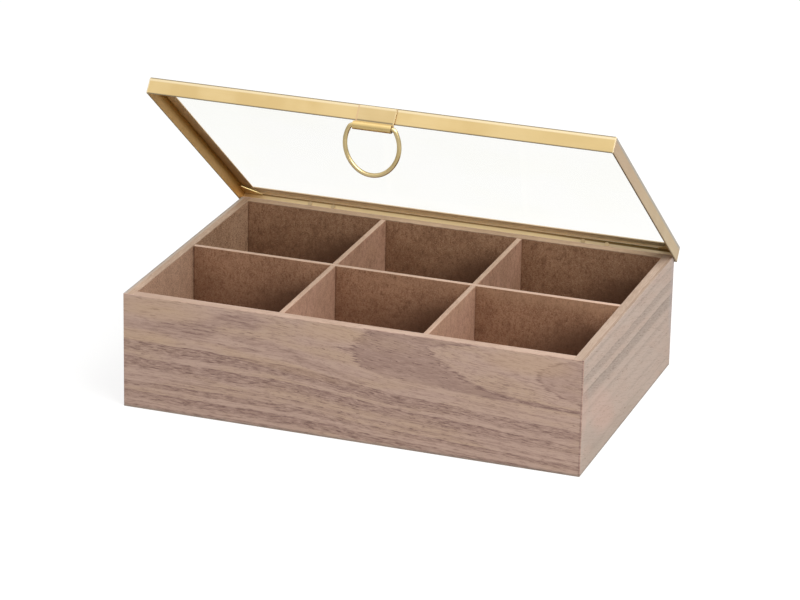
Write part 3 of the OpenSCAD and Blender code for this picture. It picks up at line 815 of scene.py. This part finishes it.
# its shade is the lid's painted shadow over the rear end of the left rim
EDGE_LEFT = edging("edging_left", 1, srgb(188, 160, 138), srgb(172, 144, 122),
                   seam=(1.5 - HALF_W, 0.5, srgb(178, 162, 148)),
                   shade=(45.0, 75.0, srgb(128, 98, 76)))
CUT_EDGE_X = edging("cut_edge_x", 0, srgb(203, 172, 151), srgb(186, 155, 134),
                    shade=(-40.0, 70.0, srgb(218, 184, 164)))
CUT_EDGE_Y = edging("cut_edge_y", 1, srgb(196, 165, 144), srgb(179, 147, 125))
GOLD_LIGHT = srgb(229, 202, 147)
GOLD_DARK = srgb(220, 191, 134)
DRAWN_X = (0.05, 2.2, 2.2)
DRAWN_Y = (2.2, 0.05, 2.2)
ANY_WAY = (1.2, 1.2, 1.2)
# painted reflections: tones along the top bend of the skirt, beyond it, and along the skirt's
# foot
FRONT_BEND_REFLECTIONS = (srgb(244, 224, 182), srgb(150, 134, 104), srgb(150, 134, 104))
SIDE_BEND_REFLECTIONS = (srgb(214, 202, 184), srgb(204, 190, 164), srgb(166, 142, 102))
CREAM = srgb(244, 228, 192)
# lines at the plate's left and right ends; the paler right one is a painted highlight of the
# light from the right
PLATE_END_LINES = (srgb(222, 187, 146), srgb(226, 202, 154))
GOLD_X = gold("gold_drawn_x", DRAWN_X, GOLD_LIGHT, GOLD_DARK, bend=FRONT_BEND_REFLECTIONS,
              ends=(RAIL_END, 0.5, (CREAM, CREAM)), shade=(0, 10.0, 110.0, srgb(212, 187, 134)))
PLATE_GOLD = gold("gold_bracket", DRAWN_X, srgb(222, 196, 145), srgb(214, 187, 134),
                  bend=FRONT_BEND_REFLECTIONS, ends=(PLATE_END, 0.7, PLATE_END_LINES))
BARREL_GOLD = gold("gold_barrel", DRAWN_X, srgb(234, 206, 144), srgb(225, 195, 131))
RING_GOLD = gold("gold_ring", ANY_WAY, srgb(231, 209, 157), srgb(218, 194, 140))
GOLD_Y = gold("gold_drawn_y", DRAWN_Y, srgb(237, 211, 167), srgb(230, 202, 157),
              turn=OPEN_ANGLE, bend=SIDE_BEND_REFLECTIONS, shade=(1, 50.0, -30.0, srgb(230, 194, 158)))
GOLD = gold("gold_satin", ANY_WAY, GOLD_LIGHT, GOLD_DARK)
# the plate's sides: a paler, duller gold, painted light where the light from the right catches
# them
PLATE_EDGE = gold("gold_plate_edge", ANY_WAY, srgb(234, 212, 168), srgb(226, 204, 160),
                  metallic=0.3, rough=(0.6, 0.7))
RIVET_GOLD = gold("gold_rivet", ANY_WAY, srgb(206, 180, 142), srgb(186, 160, 122),
                  metallic=0.6, rough=(0.5, 0.6))
# the barrel's ends: a dark, dull tone, painted shade of the barrel's open bore
BARREL_END = gold("gold_barrel_end", ANY_WAY, srgb(128, 96, 54), srgb(110, 80, 42),
                  metallic=0.3, rough=(0.6, 0.7))
# painted reflection and shade on the inner faces of the rails
SIDE_INSIDE = skirt_inside(
    "gold_side_inside", foot=srgb(207, 163, 100), head=srgb(178, 134, 66),
    line=srgb(176, 128, 56), beyond=srgb(196, 146, 70),
    far_end=srgb(207, 163, 100), far_line=srgb(176, 128, 56))
REAR_INSIDE = skirt_inside(
    "gold_rear_inside", foot=srgb(224, 197, 152), head=srgb(220, 193, 148),
    line=srgb(150, 118, 78), beyond=srgb(252, 226, 188),
    far_end=srgb(186, 164, 134), far_line=srgb(96, 76, 42))
# painted reflection and shade on the undersides of the flanges
SIDE_UNDER = flange_underside(
    "gold_side_under", 1, near=srgb(196, 152, 92), far=srgb(204, 168, 122),
    seam=srgb(150, 106, 44), end=srgb(204, 168, 122))
REAR_UNDER = flange_underside(
    "gold_rear_under", 0, near=srgb(248, 220, 186), far=srgb(216, 192, 158),
    seam=srgb(255, 236, 208), end=srgb(168, 152, 116))
LEFT_PLY_EDGE = edging("veneer_edge_left", 1, srgb(156, 156, 152), srgb(140, 138, 134))
RIGHT_PLY_EDGE = edging("veneer_edge_right", 1, srgb(176, 154, 138), srgb(160, 138, 122))
STEEL = steel()
GLASS = clear_glass()


# ---------- the dressed part ----------

# how far the edges are broken
BOARD_EDGE_MM = 0.15
DIVIDER_EDGE_MM = 0.25
VENEER_EDGE_MM = 0.3
METAL_EDGE_MM = 0.12
BRACKET_EDGE_MM = 0.06
TAB_EDGE_MM = 0.08
GLASS_EDGE_MM = 0.25

VENEERS = (
    ("front_veneer", FRONT_WALNUT, ()),
    ("rear_veneer", REAR_WALNUT, ()),
    ("left_veneer", LEFT_WALNUT, ((LEFT_PLY_EDGE, faces_up),)),
    ("right_veneer", RIGHT_WALNUT, ((RIGHT_PLY_EDGE, faces_up),)),
)
BOARDS = (
    ("rear_board", REAR_BOARD), ("front_board", MOTTLED_BOARD), ("base_panel", MOTTLED_BOARD),
    ("left_board", LEFT_BOARD), ("right_board", LEFT_BOARD),
)
DIVIDERS = (
    ("long_divider", MOTTLED_BOARD, CUT_EDGE_X),
    ("left_cross_divider", SMOOTH_BOARD, CUT_EDGE_Y),
    ("right_cross_divider", SMOOTH_BOARD, CUT_EDGE_Y),
)
EDGINGS = (
    ("front_edging", EDGE_X), ("rear_edging", REAR_EDGE),
    ("left_edging", EDGE_LEFT), ("right_edging", EDGE_RIGHT),
)
# the inner faces of the rails, and the parts of the bracket, that have tones of their own; on the
# rails, the plate's sides and the barrel's ends these are painted reflection, light and shade
SIDE_HIDDEN = ((SIDE_INSIDE, skirt_inner_face), (SIDE_UNDER, under_flange))
LONG_HIDDEN = ((REAR_INSIDE, skirt_inner_face), (REAR_UNDER, under_flange))
BRACKET_PARTS = ((BARREL_GOLD, below_plate), (PLATE_EDGE, plate_side), (BARREL_END, barrel_end))

for node, finish, accents in VENEERS:
    refine(node, "box", finish, VENEER_EDGE_MM, accents=accents)
for node, finish in BOARDS:
    refine(node, "box", finish, BOARD_EDGE_MM)
for node, finish, top_edge in DIVIDERS:
    refine(node, "box", finish, DIVIDER_EDGE_MM, accents=((top_edge, faces_up),))
for node, finish in EDGINGS:
    refine(node, "box", finish, BOARD_EDGE_MM)
for side in ("left", "right"):
    refine(side + "_fixed_leaf", "box", GOLD, METAL_EDGE_MM)
    refine(side + "_moving_leaf", "lid", GOLD, METAL_EDGE_MM)
    refine(side + "_rail", "lid", GOLD_Y, METAL_EDGE_MM, accents=SIDE_HIDDEN)
for node in ("hinge_screws", "hinge_pins"):
    refine(node, "box", STEEL, METAL_EDGE_MM)
for node in ("front_rail", "rear_rail"):
    refine(node, "lid", GOLD_X, METAL_EDGE_MM, accents=LONG_HIDDEN)
refine("glass_pane", "lid", GLASS, GLASS_EDGE_MM, segments=1, faceted=True)
refine("corner_tabs", "lid", GOLD, TAB_EDGE_MM)
refine("hinge_rivets", "lid", RIVET_GOLD, METAL_EDGE_MM)
refine("handle_bracket", "lid", PLATE_GOLD, BRACKET_EDGE_MM, accents=BRACKET_PARTS)
refine("pull_ring", "pull_ring", RING_GOLD, 0.0, levels=1)


# ---------- camera, light and stage ----------

CAMERA_AZIMUTH = math.radians(19.134)
CAMERA_ELEVATION = math.radians(20.691)
CAMERA_ROLL = math.radians(1.221)
CAMERA_DISTANCE = 1.9228
CAMERA_TARGET = Vector((-0.001657, 0.0, 0.046188))
FOCAL_PIXELS = 3780.0
FRAME_PIXELS = 800.0
SENSOR_MM = 36.0


def look_axes(azimuth, elevation):
    """Unit vectors towards the viewer, to the right and up, for a level view."""
    back = Vector((math.sin(azimuth) * math.cos(elevation),
                   -math.cos(azimuth) * math.cos(elevation),
                   math.sin(elevation)))
    right = Vector((math.cos(azimuth), math.sin(azimuth), 0.0))
    return back, right, back.cross(right)


def make_camera():
    """Pinhole camera, a little rolled, at the angle that the CAMERA values give."""
    back, right, up = look_axes(CAMERA_AZIMUTH, CAMERA_ELEVATION)
    rolled_right = math.cos(CAMERA_ROLL) * right + math.sin(CAMERA_ROLL) * up
    rolled_up = math.cos(CAMERA_ROLL) * up - math.sin(CAMERA_ROLL) * right
    data = bpy.data.cameras.new("camera")
    data.sensor_width = SENSOR_MM
    data.lens = SENSOR_MM * FOCAL_PIXELS / FRAME_PIXELS
    data.clip_end = 20.0
    camera = bpy.data.objects.new("camera", data)
    turn = Matrix((rolled_right, rolled_up, back)).transposed().to_4x4()
    camera.matrix_world = Matrix.Translation(CAMERA_TARGET + CAMERA_DISTANCE * back) @ turn
    bpy.context.scene.collection.objects.link(camera)
    bpy.context.scene.camera = camera


LAMP_AIM = Vector((0.0, 0.0, 0.05))
AMBIENT = 0.6
FLOOR_HALF = 6.0
FLOOR_BOUNCE = (0.55, 0.55, 0.55, 1.0)   # the floor's tone as it lights the part
FLOOR_SEEN = (0.25, 0.25, 0.25, 1.0)     # its tone in view, under the glow that whitens it
FLOOR_GLOW = 0.80


def area_light(name, azimuth, elevation, distance, size, power, in_mirrors):
    """Square soft lamp that looks at the middle of the box, from angles in degrees."""
    back, right, up = look_axes(math.radians(azimuth), math.radians(elevation))
    data = bpy.data.lights.new(name, "AREA")
    data.size = size
    data.energy = power
    lamp = bpy.data.objects.new(name, data)
    turn = Matrix((right, up, back)).transposed().to_4x4()
    lamp.matrix_world = Matrix.Translation(LAMP_AIM + distance * back) @ turn
    lamp.visible_glossy = in_mirrors
    bpy.context.scene.collection.objects.link(lamp)


def in_plain_view(g):
    """1 for what the camera sees, straight or through the glass."""
    path = g.node("LightPath").outputs
    return g.top(path["Is Camera Ray"], path["Is Transmission Ray"])


def make_world():
    """Even light all round; the camera and the glass see plain white, and metal a soft sky
    that brightens upwards and is brightest overhead."""
    g = Graph(bpy.data.worlds.new("world"), "ShaderNodeOutputWorld")
    bpy.context.scene.world = g.owner
    height = g.split(g.node("TexCoord").outputs["Generated"])[2]
    sky = g.add(g.ramp(height, -0.1, 0.72, 0.5, 1.0), g.ramp(height, 0.82, 0.98, 0.0, 0.5))
    strength = g.blend(g.node("LightPath").outputs["Is Glossy Ray"], AMBIENT, sky)
    strength = g.blend(in_plain_view(g), strength, 1.0)
    g.show(g.node("Background", {0: WHITE, 1: strength}))


def make_floor():
    """Floor that is seen as white, with a faint shadow, and lights the object from below."""
    g = material_graph("floor")
    seen = in_plain_view(g)
    lit = g.node("BsdfDiffuse", {0: g.mix(seen, FLOOR_BOUNCE, FLOOR_SEEN)})
    glow = g.node("Emission", {0: WHITE, 1: g.mul(seen, FLOOR_GLOW)})
    g.show(g.node("AddShader", {0: lit.outputs[0], 1: glow.outputs[0]}))
    mesh = bpy.data.meshes.new("floor")
    corners = [(x * FLOOR_HALF, y * FLOOR_HALF, 0.0)
               for x, y in ((-1, -1), (1, -1), (1, 1), (-1, 1))]
    mesh.from_pydata(corners, [], [(0, 1, 2, 3)])
    mesh.materials.append(g.owner)
    floor = bpy.data.objects.new("floor", mesh)
    bpy.context.scene.collection.objects.link(floor)


make_camera()
make_world()
area_light("key", 65.0, 50.0, distance=1.6, size=1.2, power=23.0, in_mirrors=True)
area_light("fill", -45.0, 40.0, distance=1.8, size=1.5, power=3.0, in_mirrors=False)
make_floor()
bpy.context.scene.view_settings.view_transform = "Standard"
